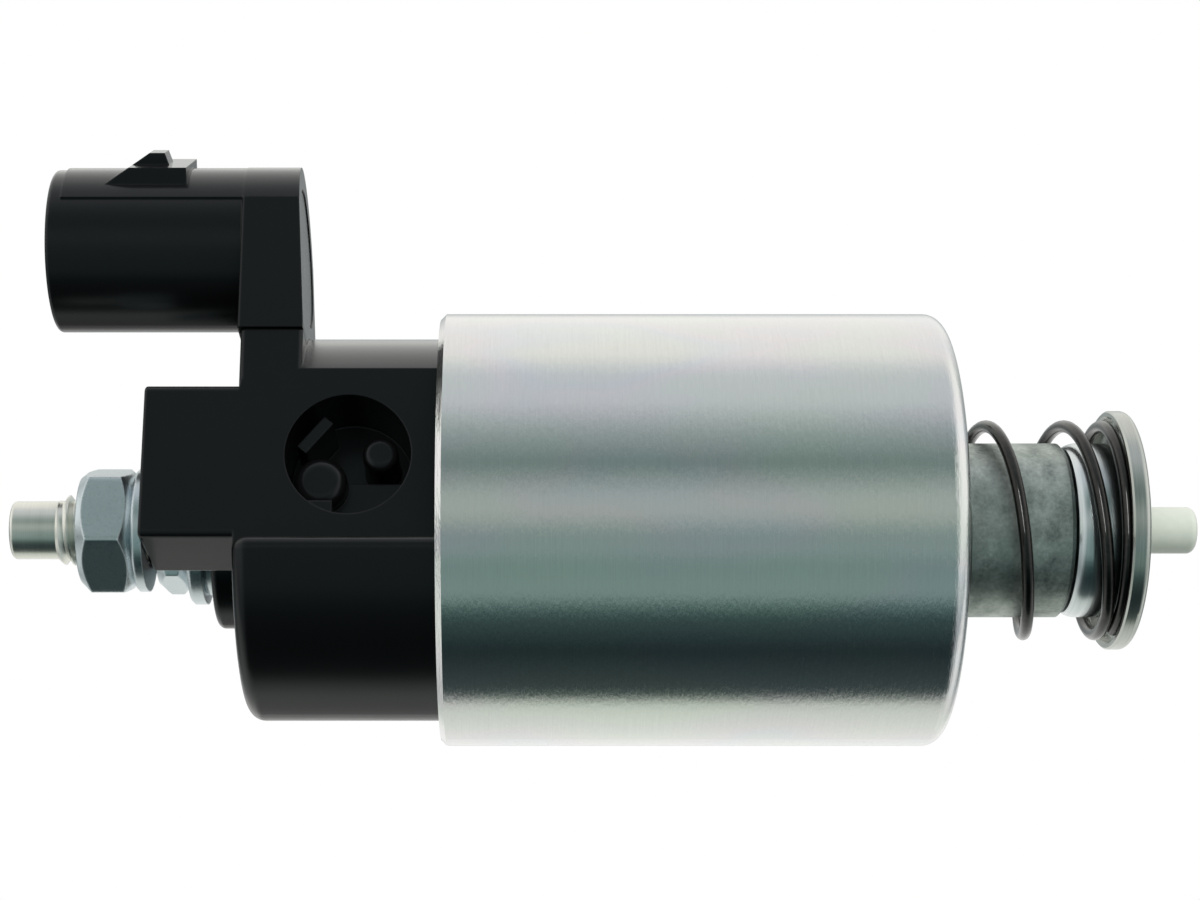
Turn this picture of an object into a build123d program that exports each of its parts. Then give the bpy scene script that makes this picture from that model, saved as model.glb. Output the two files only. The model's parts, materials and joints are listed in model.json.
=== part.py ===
# Starter solenoid: a drawn steel can with a sprung plunger at its front and a moulded terminal cap at its rear.
# Lengths are in millimetres. +X runs along the plunger, out of the can's front face; +Z runs up the
# connector stalk; -Y faces the cap's flat front. The origin is the centre of the mounting bolt circle
# on the can's front face.
from build123d import *
import math
import os

# Clearances
SEAT_GAP = 0.05
SLIDE_GAP = 0.08
WIRE_GAP = 0.15
STOP_GAP = 0.2

# Can
CASE_RADIUS = 25.0
CASE_LENGTH = 57.3
CASE_WALL = 2.0
CASE_FRONT_WALL = 2.5
CASE_EDGE_RADIUS = 2.0
CRIMP_THICKNESS = 1.3
SPRING_SEAT_DEPTH = 0.3
BOLT_COUNT = 3
BOLT_INSET = 6.0
BOLT_TAP_RADIUS = 2.1
BOLT_FIRST_ANGLE = 90.0

# Plunger and what it carries
PLUNGER_RADIUS = 10.1
PLUNGER_FRONT_X = 14.3
PLUNGER_CHAMFER = 0.5
PLUNGER_STROKE = 11.0
NECK_RADIUS = 6.0
GROOVE_WIDTH = 0.35
COLLAR_SHOULDER_LENGTH = 1.8
COLLAR_SHOULDER_DROP = 0.55
HAT_BACK_X = 21.8
HAT_DEPTH = 2.1
HAT_PLATE = 1.2
HAT_RIM = 0.85
HAT_SPRING_GAP = 0.21
HAT_BACK_ROUND = 0.75
HAT_FRONT_CHAMFER = 0.2
PIN_RADIUS = 2.7
PIN_PROUD = 8.2
PIN_SHANK_RADIUS = 2.0
PIN_SHANK_LENGTH = 9.0
PIN_END_RADIUS = 0.9

# Return spring
SPRING_BORE_GAP = 1.25
SPRING_WIRE_RADIUS = 0.72
SPRING_CLOSED_TURNS = 0.9
SPRING_OPEN_TURNS = 2.05
SPRING_RISE_ANGLE = -72.0

# Coil pack
POLE_PLATE = 5.0
TUBE_WALL = 0.5
TUBE_RECESS = 0.4
BOBBIN_LENGTH = 34.5
BOBBIN_FLANGE = 1.2
BOBBIN_HUB = 1.0
INNER_WINDING = 5.0
WINDING_AIR_GAP = 1.87
WRAP_THICKNESS = 0.3
YOKE_PLATE = 5.0
CORE_LENGTH = 15.8
CORE_SPIGOT_RADIUS = 8.0
LEAD_RADIUS = 0.65
LEAD_CIRCLE_RADIUS = 15.6

# Contact bridge
ROD_RADIUS = 2.0
ROD_COLLAR_RADIUS = 4.6
ROD_COLLAR = 1.0
CONTACT_TRAVEL = 3.0
COLLAR_SIDE_GAP = 1.0
BUSHING_SETBACK = 1.0
BUSHING_WALL = 1.5
BUSHING_LENGTH = 9.0
DISC_RADIUS = 14.0
DISC_THICKNESS = 2.0
INSULATOR_SLEEVE = 0.9
FRONT_FLANGE_RADIUS = 5.2
FRONT_FLANGE = 1.2
REAR_FLANGE_RADIUS = 4.5
REAR_FLANGE = 1.0
WASHER_THICKNESS = 0.5
CLIP_RADIUS = 3.5
CLIP_THICKNESS = 0.6
CLIP_GROOVE_RADIUS = 1.5
ROD_TAIL = 3.5
CONTACT_SPRING_WIRE = 0.35
CONTACT_SPRING_SLACK = 0.6
CONTACT_SPRING_TURNS = 5
REAR_SPRING_TURNS = 6

# Cap
CRIMP_LIP = 0.9
CAP_REAR_X = -79.4
CAP_REAR_EDGE = 1.8
CAP_STEP_EDGE = 1.2
FLAT_Y = -18.0
STEP_Z = -7.3
GASKET_THICKNESS = 0.8
GASKET_WIDTH = 2.6
CHAMBER_RADIUS = 16.8
CHAMBER_DEPTH = 10.2
CENTRE_BORE_DEPTH = 8.5
BLOCK_LENGTH = 10.4
BLOCK_TOP_Z = 10.9
BLOCK_BOTTOM_Z = -6.8
BLOCK_REAR_Y = -5.1
BLOCK_EDGE = 0.8
STALK_WIDTH = 6.95
STALK_REAR_Y = 1.0
STALK_TOP_Z = 17.6
STALK_EDGE = 0.6
BOSS_RADIUS = 10.6
BOSS_LENGTH = 4.9
BOSS_EDGE = 0.8

# Pocket in the flat front
POCKET_X = -67.1
POCKET_Z = 2.7
POCKET_RADIUS = 6.95
POCKET_DEPTH = 5.0
POCKET_WELL_DEPTH = 9.5
POCKET_SHELF_WALL = 1.0
BIG_POST_X = -70.3
BIG_POST_Z = 0.4
BIG_POST_RADIUS = 3.0
BIG_POST_TOP_DEPTH = 2.2
SMALL_POST_X = -63.7
SMALL_POST_Z = 3.8
SMALL_POST_RADIUS = 2.0
SMALL_POST_TOP_DEPTH = 2.6
RIB_X = -70.9
RIB_Z = 5.6
RIB_LENGTH = 4.6
RIB_WIDTH = 1.3
RIB_LEAN = 40.0
RIB_TOP_DEPTH = 1.8
LEDGE_LENGTH = 3.3
LEDGE_HEIGHT = 1.6
LEDGE_TOP_DEPTH = 0.3

# Connector
PLUG_Y = -8.6
PLUG_Z = 31.5
PLUG_RADIUS = 9.4
PLUG_WALL = 1.5
PLUG_MOUTH_X = -102.1
PLUG_FLOOR_X = -84.0
PLUG_TURN = 33.5
PLUG_MOUTH_EDGE = 0.5
PLUG_MOUTH_BEVEL = 0.4
ROOF_PROUD = 0.25
ROOF_HALF_ANGLE = 42.5
ROOF_START = 1.6
BODY_PROUD = 0.35
BODY_SHOULDER_Z = 2.3
BODY_EDGE = 0.35
BODY_REAR_TOP_X = -73.7
BODY_REAR_FOOT_X = -72.4
BACK_COVER_THICKNESS = 1.0
BACK_COVER_MARGIN = 1.6
BACK_COVER_SUNK = 0.15
BACK_COVER_DROP = 1.0
BACK_COVER_BEVEL = 0.3
LATCH_ROOT = 7.0
LATCH_TOP = 10.25
LATCH_HALF_WIDTH = 4.8
LATCH_REAR_X = -86.3
WEDGE_TOP = 11.6
WEDGE_HALF_WIDTH = 1.7
WEDGE_CREST_X = -90.85
WEDGE_REAR_X = -89.1
WEDGE_BACK_SLOPE = 0.35
LATCH_RAMP_SLOPE = 0.67
BLADE_WIDTH = 6.3
BLADE_THICKNESS = 0.8
BLADE_SETBACK = 3.0
BLADE_LEG_X = -76.0
BLADE_FOOT_Z = 13.6
BLADE_TIP_CHAMFER = 0.3

# Studs and nuts
STUD_THREAD_RADIUS = 3.95
STUD_SHANK_RADIUS = 3.0
B_STUD_Y = -9.0
B_STUD_Z = -3.1
B_THREAD_LENGTH = 10.1
PILOT_RADIUS = 3.25
PILOT_LENGTH = 5.2
PILOT_END_RADIUS = 0.5
THREAD_END_CHAMFER = 0.5
M_STUD_Y = 9.5
M_STUD_Z = 2.0
M_THREAD_LENGTH = 7.7
CONTACT_HEAD_RADIUS = 6.2
CONTACT_HEAD_THICKNESS = 2.5
HUB_CLEAR_RADIUS = 6.0
NUT_BEVEL = 0.9
NUT_CORNER_SLOPE = 1.1
B_NUT_FLATS = 13.0
B_NUT_THICKNESS = 6.2
B_NUT_TURN = 25.5
B_WASHER_RADIUS = 6.9
B_WASHER_THICKNESS = 1.2
M_NUT_FLATS = 11.5
M_NUT_THICKNESS = 3.9
M_NUT_TURN = 58.0
M_FLAT_WASHER_RADIUS = 6.6
M_FLAT_WASHER_THICKNESS = 1.4
M_SPRING_WASHER_RADIUS = 7.7
M_SPRING_WASHER_THICKNESS = 1.8
SPRING_WASHER_SPLIT = 1.0
SPRING_WASHER_LEAN = 25.0

# Places that follow from the sizes above
CASE_INNER_RADIUS = CASE_RADIUS - CASE_WALL
CAP_RADIUS = CASE_INNER_RADIUS - CRIMP_LIP
BOLT_CIRCLE_RADIUS = CASE_RADIUS - BOLT_INSET
SPRING_MEAN_RADIUS = PLUNGER_RADIUS + SPRING_BORE_GAP + SPRING_WIRE_RADIUS
SPRING_OUTER_RADIUS = SPRING_MEAN_RADIUS + SPRING_WIRE_RADIUS
SPRING_SEAT_RADIUS = SPRING_OUTER_RADIUS + STOP_GAP
HAT_RADIUS = SPRING_OUTER_RADIUS + HAT_SPRING_GAP + HAT_RIM
TUBE_INNER_RADIUS = PLUNGER_RADIUS + SLIDE_GAP
TUBE_OUTER_RADIUS = TUBE_INNER_RADIUS + TUBE_WALL
FIT_RADIUS = TUBE_OUTER_RADIUS + SEAT_GAP
DISC_FIT_RADIUS = CASE_INNER_RADIUS - SEAT_GAP
BOBBIN_FRONT_X = -CASE_FRONT_WALL - POLE_PLATE
BOBBIN_REAR_X = BOBBIN_FRONT_X - BOBBIN_LENGTH
BOBBIN_HUB_RADIUS = FIT_RADIUS + BOBBIN_HUB
INNER_WINDING_RADIUS = BOBBIN_HUB_RADIUS + SEAT_GAP
OUTER_WINDING_RADIUS = INNER_WINDING_RADIUS + INNER_WINDING + SEAT_GAP
WRAP_RADIUS = CASE_INNER_RADIUS - WINDING_AIR_GAP - WRAP_THICKNESS
OUTER_WINDING = WRAP_RADIUS - SEAT_GAP - OUTER_WINDING_RADIUS
WINDING_FRONT_X = BOBBIN_FRONT_X - BOBBIN_FLANGE - SEAT_GAP
WINDING_REAR_X = BOBBIN_REAR_X + BOBBIN_FLANGE + SEAT_GAP
YOKE_REAR_X = BOBBIN_REAR_X - YOKE_PLATE
CORE_FRONT_X = BOBBIN_REAR_X + CORE_LENGTH
PLUNGER_REAR_X = CORE_FRONT_X + STOP_GAP + PLUNGER_STROKE
CAP_FRONT_X = YOKE_REAR_X - GASKET_THICKNESS
CHAMBER_END_X = CAP_FRONT_X - CHAMBER_DEPTH
CAP_SHOULDER_X = -CASE_LENGTH + CRIMP_THICKNESS
CRIMP_RADIUS = CAP_RADIUS + SEAT_GAP
HEAD_FACE_X = CHAMBER_END_X + CONTACT_HEAD_THICKNESS
DISC_REAR_X = HEAD_FACE_X + CONTACT_TRAVEL + STOP_GAP / 2
DISC_FRONT_X = DISC_REAR_X + DISC_THICKNESS
SLEEVE_RADIUS = ROD_RADIUS + SEAT_GAP + INSULATOR_SLEEVE
ROD_FRONT_X = CORE_FRONT_X + CONTACT_TRAVEL
BUSHING_FRONT_X = CORE_FRONT_X - BUSHING_SETBACK
BUSHING_REAR_X = BUSHING_FRONT_X - BUSHING_LENGTH
BUSHING_RADIUS = ROD_RADIUS + SLIDE_GAP + BUSHING_WALL
COLLAR_FRONT_X = BUSHING_REAR_X - CONTACT_TRAVEL / 2
COLLAR_REAR_X = COLLAR_FRONT_X - ROD_COLLAR
RECESS_RADIUS = ROD_COLLAR_RADIUS + COLLAR_SIDE_GAP
INSULATOR_FRONT_X = DISC_FRONT_X + FRONT_FLANGE
INSULATOR_REAR_X = DISC_REAR_X - REAR_FLANGE
WASHER_REAR_X = INSULATOR_REAR_X - WASHER_THICKNESS
CLIP_REAR_X = WASHER_REAR_X - CLIP_THICKNESS
ROD_REAR_X = CLIP_REAR_X - ROD_TAIL
REAR_SPRING_RADIUS = CLIP_RADIUS + WIRE_GAP + CONTACT_SPRING_WIRE
CENTRE_BORE_RADIUS = REAR_SPRING_RADIUS + CONTACT_SPRING_WIRE + WIRE_GAP
CENTRE_BORE_END_X = CHAMBER_END_X - CENTRE_BORE_DEPTH
BLOCK_FACE_X = CAP_REAR_X - BLOCK_LENGTH
BOSS_FACE_X = CAP_REAR_X - BOSS_LENGTH
STALK_FRONT_X = CAP_REAR_X + STALK_WIDTH
HAT_PLATE_X = HAT_BACK_X - HAT_PLATE
COLLAR_X = PLUNGER_FRONT_X + GROOVE_WIDTH
ROOF_RADIUS = PLUG_RADIUS + ROOF_PROUD
ARCH_RADIUS = ROOF_RADIUS + SEAT_GAP
BLADE_TIP_X = PLUG_MOUTH_X + BLADE_SETBACK


def tube_along_x(radius, x_low, x_high, bore=0.0, y=0.0, z=0.0):
    """A cylinder on a line parallel to X, with an optional bore."""
    length = x_high - x_low
    place = Pos((x_low + x_high) / 2, y, z) * Rot(0, 90, 0)
    solid = place * Cylinder(radius, length)
    if bore:
        solid -= place * Cylinder(bore, length + 1)
    return solid


def block(x_low, x_high, y_low, y_high, z_low, z_high):
    """A box given by its faces."""
    size = (x_high - x_low, y_high - y_low, z_high - z_low)
    middle = Pos((x_low + x_high) / 2, (y_low + y_high) / 2, (z_low + z_high) / 2)
    return middle * Box(*size)


def revolve_profile(points):
    """Turns a profile of (x, radius) points about the X axis."""
    outline = Polyline(*[(x, 0, radius) for x, radius in points], close=True)
    return revolve(make_face(outline), Axis.X, 360)


def circle_edges(shape, x, radius):
    """The circular edges of a shape that lie at one X with one radius."""
    found = []
    for edge in shape.edges().filter_by(GeomType.CIRCLE):
        if abs(edge.arc_center.X - x) < 0.01 and abs(edge.radius - radius) < 0.01:
            found.append(edge)
    return found


def coil_spring(mean_radius, wire_radius, start_x, end_x, turns, start_angle=0.0, closed=1.0):
    """A right-handed coil along +X, with closed end turns that lie flat and an even pitch between."""
    low = start_x + wire_radius
    high = end_x - wire_radius
    end_rise = closed * 2 * wire_radius
    points = []
    steps = 12
    total = turns + 2 * closed
    for step in range(int(total * steps) + 1):
        turn = step / steps
        angle = math.radians(start_angle) + turn * 2 * math.pi
        if turn < closed:
            x = low + end_rise * turn / closed
        elif turn > closed + turns:
            x = high - end_rise * (total - turn) / closed
        else:
            x = low + end_rise + (high - low - 2 * end_rise) * (turn - closed) / turns
        points.append((x, mean_radius * math.cos(angle), mean_radius * math.sin(angle)))
    path = Spline(*points)
    section = Plane(path @ 0, z_dir=path % 0) * Circle(wire_radius)
    return sweep(section, path)


def bolt_places():
    """The (y, z) of each mounting hole on its circle."""
    places = []
    for index in range(BOLT_COUNT):
        angle = math.radians(BOLT_FIRST_ANGLE + index * 360 / BOLT_COUNT)
        places.append((BOLT_CIRCLE_RADIUS * math.cos(angle), BOLT_CIRCLE_RADIUS * math.sin(angle)))
    return places


def lead_place(y, z):
    """The point on the lead circle in the direction of (y, z)."""
    distance = math.hypot(y, z)
    return y * LEAD_CIRCLE_RADIUS / distance, z * LEAD_CIRCLE_RADIUS / distance


M_LEAD = lead_place(M_STUD_Y, M_STUD_Z)
S_LEAD = lead_place(PLUG_Y, math.sqrt(LEAD_CIRCLE_RADIUS**2 - PLUG_Y**2))


def solenoid_case():
    case = tube_along_x(CASE_RADIUS, -CASE_LENGTH, 0)
    case = fillet(circle_edges(case, 0, CASE_RADIUS), CASE_EDGE_RADIUS)
    case = chamfer(circle_edges(case, -CASE_LENGTH, CASE_RADIUS), CRIMP_THICKNESS / 2)
    case -= tube_along_x(CASE_INNER_RADIUS, CAP_SHOULDER_X, -CASE_FRONT_WALL)
    case -= tube_along_x(CRIMP_RADIUS, -CASE_LENGTH - 1, CAP_SHOULDER_X)
    case -= tube_along_x(FIT_RADIUS, -CASE_FRONT_WALL - 1, 1)
    case -= tube_along_x(SPRING_SEAT_RADIUS, -SPRING_SEAT_DEPTH, 1)
    for y, z in bolt_places():
        case -= tube_along_x(BOLT_TAP_RADIUS, -CASE_FRONT_WALL - 1, 1, y=y, z=z)
    return case


def pole_plate():
    plate = tube_along_x(DISC_FIT_RADIUS, BOBBIN_FRONT_X, -CASE_FRONT_WALL, bore=FIT_RADIUS)
    for y, z in bolt_places():
        plate -= tube_along_x(BOLT_TAP_RADIUS, BOBBIN_FRONT_X - 1, 0, y=y, z=z)
    return plate


def plunger_guide_tube():
    return tube_along_x(TUBE_OUTER_RADIUS, BOBBIN_REAR_X, -TUBE_RECESS, bore=TUBE_INNER_RADIUS)


def bobbin():
    flange_radius = DISC_FIT_RADIUS - SEAT_GAP
    spool = tube_along_x(BOBBIN_HUB_RADIUS, BOBBIN_REAR_X, BOBBIN_FRONT_X)
    spool += tube_along_x(flange_radius, BOBBIN_FRONT_X - BOBBIN_FLANGE, BOBBIN_FRONT_X)
    spool += tube_along_x(flange_radius, BOBBIN_REAR_X, BOBBIN_REAR_X + BOBBIN_FLANGE)
    spool -= tube_along_x(FIT_RADIUS, BOBBIN_REAR_X - 1, BOBBIN_FRONT_X + 1)
    for y, z in (M_LEAD, S_LEAD):
        hole = LEAD_RADIUS + SEAT_GAP
        spool -= tube_along_x(hole, BOBBIN_REAR_X - 1, WINDING_REAR_X, y=y, z=z)
    return spool


def winding(inner_radius, thickness):
    return tube_along_x(inner_radius + thickness, WINDING_REAR_X, WINDING_FRONT_X, bore=inner_radius)


def pull_in_winding():
    return winding(INNER_WINDING_RADIUS, INNER_WINDING)


def hold_in_winding():
    return winding(OUTER_WINDING_RADIUS, OUTER_WINDING)


def winding_wrap():
    return winding(WRAP_RADIUS, WRAP_THICKNESS)


def rear_yoke_plate():
    bore = CORE_SPIGOT_RADIUS + SEAT_GAP
    plate = tube_along_x(DISC_FIT_RADIUS, YOKE_REAR_X, BOBBIN_REAR_X, bore=bore)
    for y, z in (M_LEAD, S_LEAD):
        plate -= tube_along_x(2 * LEAD_RADIUS, YOKE_REAR_X - 1, BOBBIN_REAR_X + 1, y=y, z=z)
    return plate


def fixed_core():
    core = tube_along_x(TUBE_INNER_RADIUS - SEAT_GAP, BOBBIN_REAR_X, CORE_FRONT_X)
    core = chamfer(circle_edges(core, CORE_FRONT_X, TUBE_INNER_RADIUS - SEAT_GAP), PLUNGER_CHAMFER)
    core += tube_along_x(CORE_SPIGOT_RADIUS, YOKE_REAR_X, BOBBIN_REAR_X)
    core -= tube_along_x(BUSHING_RADIUS + SEAT_GAP, BUSHING_REAR_X - 1, CORE_FRONT_X + 1)
    core -= tube_along_x(RECESS_RADIUS, YOKE_REAR_X - 1, BUSHING_REAR_X)
    return core


def rod_bushing():
    return tube_along_x(BUSHING_RADIUS, BUSHING_REAR_X, BUSHING_FRONT_X, bore=ROD_RADIUS + SLIDE_GAP)


def cap_gasket():
    inner = DISC_FIT_RADIUS - GASKET_WIDTH
    return tube_along_x(DISC_FIT_RADIUS, CAP_FRONT_X, YOKE_REAR_X, bore=inner)


def cap_round_body():
    """The round body with its flat front cut away above the step."""
    body = tube_along_x(CAP_RADIUS, CAP_REAR_X, CAP_SHOULDER_X)
    body = fillet(circle_edges(body, CAP_REAR_X, CAP_RADIUS), CAP_REAR_EDGE)
    body -= block(CAP_REAR_X - 1, -CASE_LENGTH, -CASE_RADIUS, FLAT_Y, STEP_Z, CASE_RADIUS)
    step_edge = []
    for edge in body.edges().filter_by(GeomType.LINE).filter_by(Axis.X):
        if abs(edge.center().Z - STEP_Z) < 0.01 and edge.center().Y < FLAT_Y - 1:
            step_edge.append(edge)
    return fillet(step_edge, CAP_STEP_EDGE)


def terminal_block():
    """The block that holds the battery stud, flush with the flat front."""
    solid = block(BLOCK_FACE_X, CAP_REAR_X + CAP_REAR_EDGE, FLAT_Y, BLOCK_REAR_Y, BLOCK_BOTTOM_Z, BLOCK_TOP_Z)
    long_edges = [e for e in solid.edges().filter_by(Axis.X)]
    solid = fillet(long_edges, BLOCK_EDGE)
    end_face = solid.faces().sort_by(Axis.X)[0]
    return fillet(end_face.edges(), BLOCK_EDGE / 2)


def stalk():
    """The stalk that carries the connector, rising from the cap's rear end."""
    solid = block(CAP_REAR_X, STALK_FRONT_X, FLAT_Y, STALK_REAR_Y, 0, STALK_TOP_Z)
    return fillet(solid.edges().filter_by(Axis.Z), STALK_EDGE)


def motor_boss():
    """The round boss behind the block, which holds the motor stud."""
    boss = tube_along_x(BOSS_RADIUS, BOSS_FACE_X, CAP_REAR_X + CAP_REAR_EDGE, y=M_STUD_Y, z=M_STUD_Z)
    return fillet(circle_edges(boss, BOSS_FACE_X, BOSS_RADIUS), BOSS_EDGE)


def into_flat(x, z, radius, depth_low, depth_high):
    """A cylinder that runs straight into the flat front, between two depths."""
    middle = Pos(x, FLAT_Y + (depth_low + depth_high) / 2, z) * Rot(90, 0, 0)
    return middle * Cylinder(radius, depth_high - depth_low)


def pocket_hole():
    """The round pocket, and the deeper well in its upper part, clear of the battery stud below."""
    shallow = into_flat(POCKET_X, POCKET_Z, POCKET_RADIUS, 0, POCKET_DEPTH)
    deep = into_flat(POCKET_X, POCKET_Z, POCKET_RADIUS, 0, POCKET_WELL_DEPTH)
    shelf_z = B_STUD_Z + STUD_SHANK_RADIUS + SEAT_GAP + POCKET_SHELF_WALL
    x_low, x_high = POCKET_X - POCKET_RADIUS, POCKET_X + POCKET_RADIUS
    above = block(x_low, x_high, FLAT_Y, FLAT_Y + POCKET_WELL_DEPTH, shelf_z, POCKET_Z + POCKET_RADIUS)
    return shallow + (deep & above)


def rounded_post(x, z, radius, top_depth):
    """A post with a domed end that stands in the pocket."""
    post = into_flat(x, z, radius, top_depth, POCKET_WELL_DEPTH)
    near_edge = post.edges().filter_by(GeomType.CIRCLE).sort_by(Axis.Y)[0]
    return fillet(near_edge, radius / 2)


def pocket_inside():
    """The two posts, the rib and the ledge at the rim."""
    big = rounded_post(BIG_POST_X, BIG_POST_Z, BIG_POST_RADIUS, BIG_POST_TOP_DEPTH)
    small = rounded_post(SMALL_POST_X, SMALL_POST_Z, SMALL_POST_RADIUS, SMALL_POST_TOP_DEPTH)
    rib_height = POCKET_WELL_DEPTH - RIB_TOP_DEPTH
    rib_place = Pos(RIB_X, FLAT_Y + RIB_TOP_DEPTH + rib_height / 2, RIB_Z) * Rot(0, RIB_LEAN, 0)
    rib = rib_place * Box(RIB_WIDTH, rib_height, RIB_LENGTH)
    x_low, z_low = POCKET_X - POCKET_RADIUS, POCKET_Z - POCKET_RADIUS
    y_low = FLAT_Y + LEDGE_TOP_DEPTH
    ledge = block(
        x_low, POCKET_X - LEDGE_LENGTH / 2, y_low, FLAT_Y + POCKET_DEPTH, z_low, z_low + LEDGE_HEIGHT
    )
    return [big, small, rib, ledge]


def terminal_cap():
    cap = tube_along_x(DISC_FIT_RADIUS, CAP_SHOULDER_X, CAP_FRONT_X)
    cap += cap_round_body()
    cap += stalk()
    cap += terminal_block()
    cap += motor_boss()
    cap -= tube_along_x(CHAMBER_RADIUS, CHAMBER_END_X, CAP_FRONT_X + 1)
    cap -= tube_along_x(CENTRE_BORE_RADIUS, CENTRE_BORE_END_X, CHAMBER_END_X + 1)
    shank_bore = STUD_SHANK_RADIUS + SEAT_GAP
    cap -= tube_along_x(shank_bore, BLOCK_FACE_X - 1, CHAMBER_END_X + 1, y=B_STUD_Y, z=B_STUD_Z)
    cap -= tube_along_x(shank_bore, BOSS_FACE_X - 1, CHAMBER_END_X + 1, y=M_STUD_Y, z=M_STUD_Z)
    hole = pocket_hole()
    cap -= hole
    for piece in pocket_inside():
        cap += piece & hole
    y, z = S_LEAD
    cap -= tube_along_x(LEAD_RADIUS + SEAT_GAP, BLADE_LEG_X, CHAMBER_END_X + 1, y=y, z=z)
    cap -= blade_leg(SEAT_GAP)
    return cap


def blade_leg(gap):
    """The part of the signal terminal that runs down the stalk, grown by a gap on each side."""
    half_width = BLADE_WIDTH / 2 + gap
    x_low = BLADE_LEG_X - gap
    x_high = BLADE_LEG_X + BLADE_THICKNESS + gap
    return block(x_low, x_high, PLUG_Y - half_width, PLUG_Y + half_width, BLADE_FOOT_Z - gap, PLUG_Z)


def turned_plug(shape):
    """Puts a shape made about the X axis at the plug, turned so that its top leans to the flat front."""
    return Pos(0, PLUG_Y, PLUG_Z) * Rot(PLUG_TURN, 0, 0) * shape


def connector_tube():
    """The round socket tube, whose upper part stands a little proud down to a step on each side."""
    tube = tube_along_x(PLUG_RADIUS, PLUG_MOUTH_X, CAP_REAR_X + 1, y=PLUG_Y, z=PLUG_Z)
    tube = fillet(circle_edges(tube, PLUG_MOUTH_X, PLUG_RADIUS), PLUG_MOUTH_EDGE)
    half_angle = math.radians(ROOF_HALF_ANGLE)
    start_x = PLUG_MOUTH_X + ROOF_START
    left = (start_x, -ROOF_RADIUS * math.sin(half_angle), ROOF_RADIUS * math.cos(half_angle))
    right = (start_x, ROOF_RADIUS * math.sin(half_angle), ROOF_RADIUS * math.cos(half_angle))
    centre = (start_x, 0, 0)
    outline = [Line(centre, left), ThreePointArc(left, (start_x, 0, ROOF_RADIUS), right), Line(right, centre)]
    roof = extrude(make_face(outline), CAP_REAR_X + 1 - start_x, dir=(1, 0, 0))
    return tube + turned_plug(roof)


def connector_body():
    """The housing behind the tube: round above, straight sides down to the stalk, with a leaning rear face."""
    rear_x = CAP_REAR_X - BODY_PROUD
    low_z = STALK_TOP_Z + SEAT_GAP
    top_z = PLUG_Z + ARCH_RADIUS
    arch = tube_along_x(ARCH_RADIUS, rear_x, STALK_FRONT_X, y=PLUG_Y, z=PLUG_Z)
    near_y = PLUG_Y - ARCH_RADIUS - BODY_PROUD / 3
    far_y = PLUG_Y + ARCH_RADIUS
    sides = block(rear_x, STALK_FRONT_X, near_y, far_y, low_z, PLUG_Z + BODY_SHOULDER_Z)
    near_corner = sides.edges().filter_by(Axis.Z).sort_by(Axis.X)[:2].sort_by(Axis.Y)[0]
    sides = fillet(near_corner, BODY_EDGE)
    slope = (BODY_REAR_TOP_X - BODY_REAR_FOOT_X) / (top_z - low_z)
    past = ARCH_RADIUS
    outline = Polyline(
        (BODY_REAR_FOOT_X - slope * past, PLUG_Y, low_z - past),
        (BODY_REAR_TOP_X + slope * past, PLUG_Y, top_z + past),
        (STALK_FRONT_X + past, PLUG_Y, top_z + past),
        (STALK_FRONT_X + past, PLUG_Y, low_z - past),
        close=True,
    )
    return arch + sides - extrude(make_face(outline), 2 * ARCH_RADIUS, both=True)


def ramp_x(height):
    """Where the latch's ramp passes a height above the plug's axis."""
    return WEDGE_CREST_X - (WEDGE_TOP - height) / LATCH_RAMP_SLOPE


def latch():
    """The broad base and the narrow wedge on it, which share one ramp and hold the mating plug."""
    base = Polyline(
        (ramp_x(LATCH_ROOT), 0, LATCH_ROOT),
        (ramp_x(LATCH_TOP), 0, LATCH_TOP),
        (LATCH_REAR_X, 0, LATCH_TOP),
        (LATCH_REAR_X, 0, LATCH_ROOT),
        close=True,
    )
    wedge = Polyline(
        (ramp_x(LATCH_ROOT), 0, LATCH_ROOT),
        (WEDGE_CREST_X, 0, WEDGE_TOP),
        (WEDGE_REAR_X, 0, WEDGE_TOP),
        (WEDGE_REAR_X + (WEDGE_TOP - LATCH_ROOT) * WEDGE_BACK_SLOPE, 0, LATCH_ROOT),
        close=True,
    )
    solid = extrude(make_face(base), LATCH_HALF_WIDTH, both=True)
    solid += extrude(make_face(wedge), WEDGE_HALF_WIDTH, both=True)
    return turned_plug(solid)


def connector_housing():
    housing = connector_tube() + latch()
    housing += connector_body()
    cavity_radius = PLUG_RADIUS - PLUG_WALL
    cavity = [
        (PLUG_MOUTH_X - 1, 0),
        (PLUG_MOUTH_X - 1, cavity_radius + PLUG_MOUTH_BEVEL + 1),
        (PLUG_MOUTH_X + PLUG_MOUTH_BEVEL, cavity_radius),
        (PLUG_FLOOR_X, cavity_radius),
        (PLUG_FLOOR_X, 0),
    ]
    housing -= Pos(0, PLUG_Y, PLUG_Z) * revolve_profile(cavity)
    housing -= tube_along_x(CAP_RADIUS + SEAT_GAP, CAP_REAR_X - BODY_PROUD - 1, 0)
    housing -= blade_arm(SEAT_GAP)
    housing -= blade_leg(SEAT_GAP)
    housing -= back_cover_shape(SEAT_GAP, mouth=BACK_COVER_THICKNESS)
    return housing


def blade_arm(gap):
    """The part of the signal terminal that lies along the socket, grown by a gap on each side."""
    half_width = BLADE_WIDTH / 2 + gap
    half_thickness = BLADE_THICKNESS / 2 + gap
    x_high = BLADE_LEG_X + BLADE_THICKNESS + gap
    return turned_plug(block(BLADE_TIP_X, x_high, -half_width, half_width, -half_thickness, half_thickness))


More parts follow.
